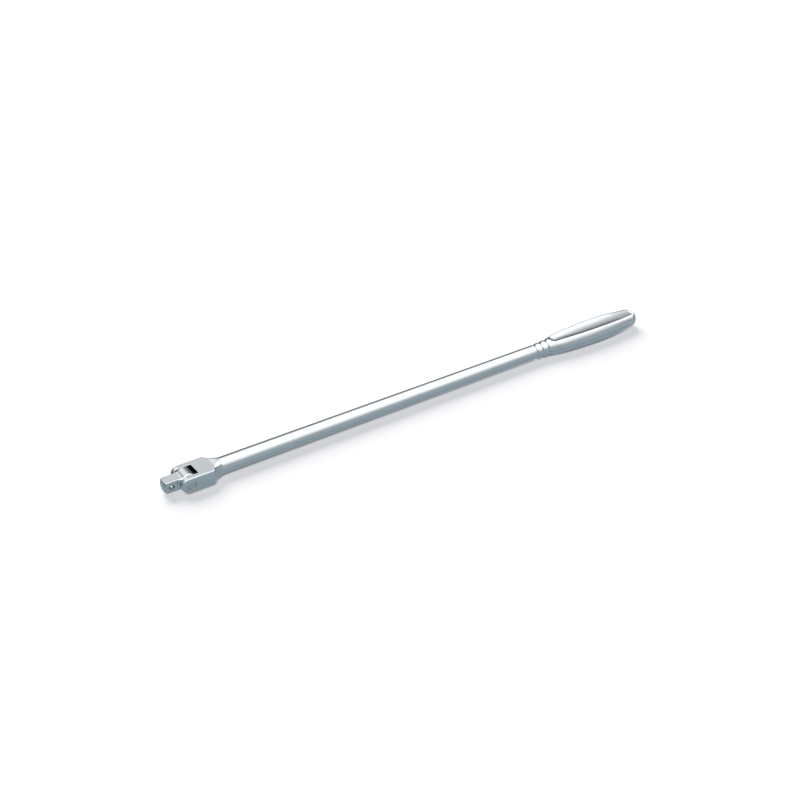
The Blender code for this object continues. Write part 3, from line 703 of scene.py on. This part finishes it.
def metal(name, colour, roughness, grain, bump):
    """Metal with a fine grain along the part, a cloudy polish, scratches, rubbed edges and painted shade in its
    corners, where ambient occlusion darkens its colour.
    """
    made = bpy.data.materials.new(name)
    tree = Tree(made)
    place = tree.add("TexCoord").outputs["Object"]
    along = tree.add("Mapping", {"Vector": place, "Scale": grain}).outputs["Vector"]
    streaks = tree.noise(along, 1.0, STREAK_DETAIL)
    clouds = tree.noise(place, CLOUD_SCALE, CLOUD_DETAIL)
    slanted = tree.add("Mapping", {"Vector": place, "Rotation": SCRATCH_SLANT, "Scale": SCRATCH_STRETCH})
    lines = tree.noise(slanted.outputs["Vector"], 1.0, SCRATCH_DETAIL)

    cloudy = tree.arithmetic("MULTIPLY", clouds, CLOUD_SHARE)
    mixed = tree.arithmetic("MULTIPLY_ADD", streaks, STREAK_SHARE, cloudy)
    spread = (roughness * (1.0 - ROUGHNESS_SPREAD), roughness * (1.0 + ROUGHNESS_SPREAD))
    polish = tree.ramp(mixed, POLISH_RANGE, spread)
    edges = tree.ramp(tree.add("NewGeometry").outputs["Pointiness"], EDGE_RANGE)
    worn = tree.arithmetic("MULTIPLY", edges, clouds)
    rubbed = tree.arithmetic("MULTIPLY_ADD", worn, EDGE_WEAR_ROUGHNESS, polish)
    scratches = tree.ramp(lines, SCRATCH_RANGE, (0.0, SCRATCH_ROUGHNESS))

    open_metal = tree.blend(clouds, shade_of(colour, 1.0 - CLOUD_TINT), shade_of(colour, 1.0 + CLOUD_TINT))
    bare = tree.blend(worn, open_metal, shade_of(colour, EDGE_WEAR_BRIGHTNESS))
    # painted shade: where ambient occlusion finds a crevice, the base colour falls nearly to black
    crevice = tree.add("AmbientOcclusion", {"Distance": CREVICE_REACH}, samples=CREVICE_SAMPLES).outputs["AO"]
    base_with_painted_crevice_shade = tree.blend(tree.ramp(crevice, CREVICE_RANGE), shade_of(colour, CREVICE_PAINTED_SHADE), bare)

    relief = tree.add("Bump", {"Strength": bump, "Distance": BUMP_HEIGHT, "Height": streaks})
    tree.feed(tree.nodes["Principled BSDF"], {
        "Metallic": 1.0,
        "Roughness": tree.arithmetic("ADD", rubbed, scratches),
        "Base Color": base_with_painted_crevice_shade,
        "Normal": relief.outputs["Normal"],
    })
    return made


# ---------------------------------------------------------------- camera, floor and light
CAMERA_AZIMUTH = math.radians(-32.508)
CAMERA_ELEVATION = math.radians(33.098)
CAMERA_ROLL = math.radians(-0.756)
CAMERA_AIM = Vector((-0.01651, 0.00689, 0.00467))
CAMERA_DISTANCE = 1.7
CAMERA_LENS = 71.418
FLOOR_SIZE = 14.0
FLOOR_ROUGHNESS = 0.9
FLOOR_FILL = (0.585, 0.59, 0.615)
FLOOR_LIT = (0.52, 0.52, 0.50)
# painted reflection: what glossy rays see of the floor, greyer and bluer than the floor itself
FLOOR_FILL_PAINTED_REFLECTION = (0.385, 0.475, 0.52)
FLOOR_LIT_PAINTED_REFLECTION = (0.12, 0.155, 0.17)
FLOOR_PAINTED_REFLECTION_DIMMING = (                                 # axis, start, end and what is left of the mirrored floor's light: painted darker patches in the chrome's reflection of the floor
    ("X", -0.292, -0.325, 0.5),
    ("Y", 0.012, 0.05, 0.4),
)
CONTACT_REACH = 2.6 * MM                          # how far the floor's painted shadow reaches round what touches it
CONTACT_SAMPLES = 16
SOFTBOX_POWER = 4.3
SOFTBOX_WIDTH = math.radians(40.0)
SOFTBOX_ELEVATION = math.radians(37.0)
SOFTBOX_AZIMUTH = math.radians(172.0)
SKY_TINT = (0.955, 1.0, 1.02)
SKY_TURN = (-0.35, 0.45)                          # where the near sky passes into the far one
NEAR_SKY = ((0.0, 0.50), (0.22, 0.66), (0.43, 1.06), (0.60, 1.50), (0.8, 1.9), (1.0, 2.1))
FAR_SKY_RISE = 0.58                               # the far sky is brighter towards the grip's end
FAR_SKY_RISE_FROM = 0.32
FAR_SKY = ((0.0, 0.11), (0.24, 0.20), (0.44, 0.46), (0.545, 0.78), (0.66, 1.45), (0.82, 2.20), (1.0, 2.2))


def make_camera():
    camera = bpy.data.objects.new("camera", bpy.data.cameras.new("camera"))
    bpy.context.scene.collection.objects.link(camera)
    back = Vector((math.sin(CAMERA_AZIMUTH) * math.cos(CAMERA_ELEVATION),
                   -math.cos(CAMERA_AZIMUTH) * math.cos(CAMERA_ELEVATION),
                   math.sin(CAMERA_ELEVATION)))
    turn = back.to_track_quat("Z", "Y").to_matrix() @ Matrix.Rotation(CAMERA_ROLL, 3, "Z")
    camera.matrix_world = Matrix.Translation(CAMERA_AIM + back * CAMERA_DISTANCE) @ turn.to_4x4()
    camera.data.lens = CAMERA_LENS
    camera.data.clip_start = 0.01
    camera.data.clip_end = 100.0
    bpy.context.scene.camera = camera


def make_floor():
    """Pale paper. It shows greyer and bluer in the chrome than it is: a painted reflection, set for glossy rays
    only, darker still in painted patches towards -x beyond about -0.3 m and towards +y beyond about 0.01 m. Round
    what touches it the floor carries a painted shadow.
    """
    bm = bmesh.new()
    bmesh.ops.create_grid(bm, x_segments=1, y_segments=1, size=FLOOR_SIZE / 2)
    floor = object_from("studio_floor", bm)
    paper = bpy.data.materials.new("white_paper")
    tree = Tree(paper)
    shader = tree.nodes["Principled BSDF"]
    tree.feed(shader, {"Roughness": FLOOR_ROUGHNESS, "Specular IOR Level": 0.0, "Emission Strength": 1.0})
    mirrored = tree.add("LightPath").outputs["Is Glossy Ray"]
    axes = tree.add("SeparateXYZ", {"Vector": tree.add("NewGeometry").outputs["Position"]})
    # painted reflection: patches of the floor seen darker only in the chrome, towards -x and towards +y
    dimness = [tree.ramp(axes.outputs[axis], (start, end), (1.0, level), "SMOOTHSTEP")
               for axis, start, end, level in FLOOR_PAINTED_REFLECTION_DIMMING]
    dim = tree.arithmetic("MULTIPLY", *dimness)
    # painted shadow: ambient occlusion darkens the floor's glow round what touches it
    painted_touch_shadow = tree.add("AmbientOcclusion", {"Distance": CONTACT_REACH}, samples=CONTACT_SAMPLES).outputs["AO"]
    fill = tree.blend(painted_touch_shadow, (0.0, 0.0, 0.0, 1.0), (*FLOOR_FILL, 1.0))
    for socket, plain, reflected in (("Base Color", (*FLOOR_LIT, 1.0), FLOOR_LIT_PAINTED_REFLECTION),
                                     ("Emission Color", fill, FLOOR_FILL_PAINTED_REFLECTION)):
        dimmed = tree.add("VectorMath", {0: reflected, "Scale": dim}, operation="SCALE")
        tree.feed(shader, {socket: tree.blend(mirrored, plain, dimmed.outputs["Vector"])})
    floor.data.materials.append(paper)


def sky_colour(tree, height, stops):
    """Brightness of one side of the studio by height: pairs of the sine of the elevation and a grey."""
    fall = tree.add("ValToRGB", {"Fac": height})
    ramp = fall.color_ramp
    ramp.interpolation = "LINEAR"
    while len(ramp.elements) < len(stops):
        ramp.elements.new(0.5)
    for element, (at, grey) in zip(ramp.elements, stops):
        element.position = at
        element.color = (grey * SKY_TINT[0], grey * SKY_TINT[1], grey * SKY_TINT[2], 1.0)
    return fall.outputs["Color"]


def make_sky():
    """A pale studio: a bright ceiling that falls off to a dim horizon, dimmer still on the far side."""
    world = bpy.data.worlds.new("studio")
    bpy.context.scene.world = world
    world.cycles_visibility.diffuse = False
    tree = Tree(world)
    direction = tree.add("TexCoord").outputs["Generated"]
    axes = tree.add("SeparateXYZ", {"Vector": direction})
    rise = tree.arithmetic("MULTIPLY_ADD", axes.outputs["X"], FAR_SKY_RISE, 1.0 - FAR_SKY_RISE * FAR_SKY_RISE_FROM)
    lifted = tree.arithmetic("MULTIPLY", axes.outputs["Z"], tree.arithmetic("MAXIMUM", rise, 1.0))
    near = sky_colour(tree, axes.outputs["Z"], NEAR_SKY)
    far = sky_colour(tree, lifted, FAR_SKY)

    to_far_side = (-math.sin(CAMERA_AZIMUTH), math.cos(CAMERA_AZIMUTH), 0.0)
    away = tree.add("VectorMath", {0: direction, 1: to_far_side}, operation="DOT_PRODUCT").outputs["Value"]
    around = tree.blend(tree.ramp(away, SKY_TURN, interpolation="SMOOTHSTEP"), near, far)
    seen = tree.add("LightPath").outputs["Is Camera Ray"]
    tree.feed(tree.nodes["Background"], {"Color": tree.blend(seen, around, (1.0, 1.0, 1.0, 1.0))})


def make_softbox():
    """Wide soft light from high behind the bar; it draws the shadow on the floor."""
    softbox = bpy.data.lights.new("softbox", "SUN")
    softbox.energy = SOFTBOX_POWER
    softbox.angle = SOFTBOX_WIDTH
    lamp = bpy.data.objects.new("softbox", softbox)
    bpy.context.scene.collection.objects.link(lamp)
    from_lamp = Vector((math.sin(SOFTBOX_AZIMUTH) * math.cos(SOFTBOX_ELEVATION),
                        -math.cos(SOFTBOX_AZIMUTH) * math.cos(SOFTBOX_ELEVATION),
                        math.sin(SOFTBOX_ELEVATION)))
    lamp.rotation_mode = "QUATERNION"
    lamp.rotation_quaternion = from_lamp.to_track_quat("Z", "Y")
    lamp.visible_glossy = False
    lamp.visible_camera = False


def main():
    chrome = metal("satin_chrome_plate", colour=(0.56, 0.575, 0.59), roughness=0.16,
                   grain=(40.0, 1600.0, 1600.0), bump=0.12)
    rivet = metal("ground_rivet_steel", colour=(0.50, 0.515, 0.53), roughness=0.26,
                  grain=(900.0, 60.0, 900.0), bump=0.25)
    bearing = metal("polished_bearing_steel", colour=(0.60, 0.61, 0.62), roughness=0.10,
                    grain=(300.0, 300.0, 300.0), bump=0.04)
    wire = metal("oiled_spring_wire", colour=(0.30, 0.31, 0.33), roughness=0.30,
                 grain=(500.0, 500.0, 500.0), bump=0.2)
    make_camera()
    make_bar(chrome)
    make_head(chrome)
    make_pin(rivet)
    make_ball("detent_ball", "drive_ball", "drive_ball", bearing)
    make_ball("swivel_detent_ball", "swivel_ball", "swivel_ball", bearing)
    make_spring("detent_spring", "drive_ball_spring", "head", "Y", wire)
    make_spring("swivel_detent_spring", "swivel_spring", "handle", "X", wire)
    make_floor()
    make_sky()
    make_softbox()
    bpy.context.scene.view_settings.view_transform = "Standard"


main()
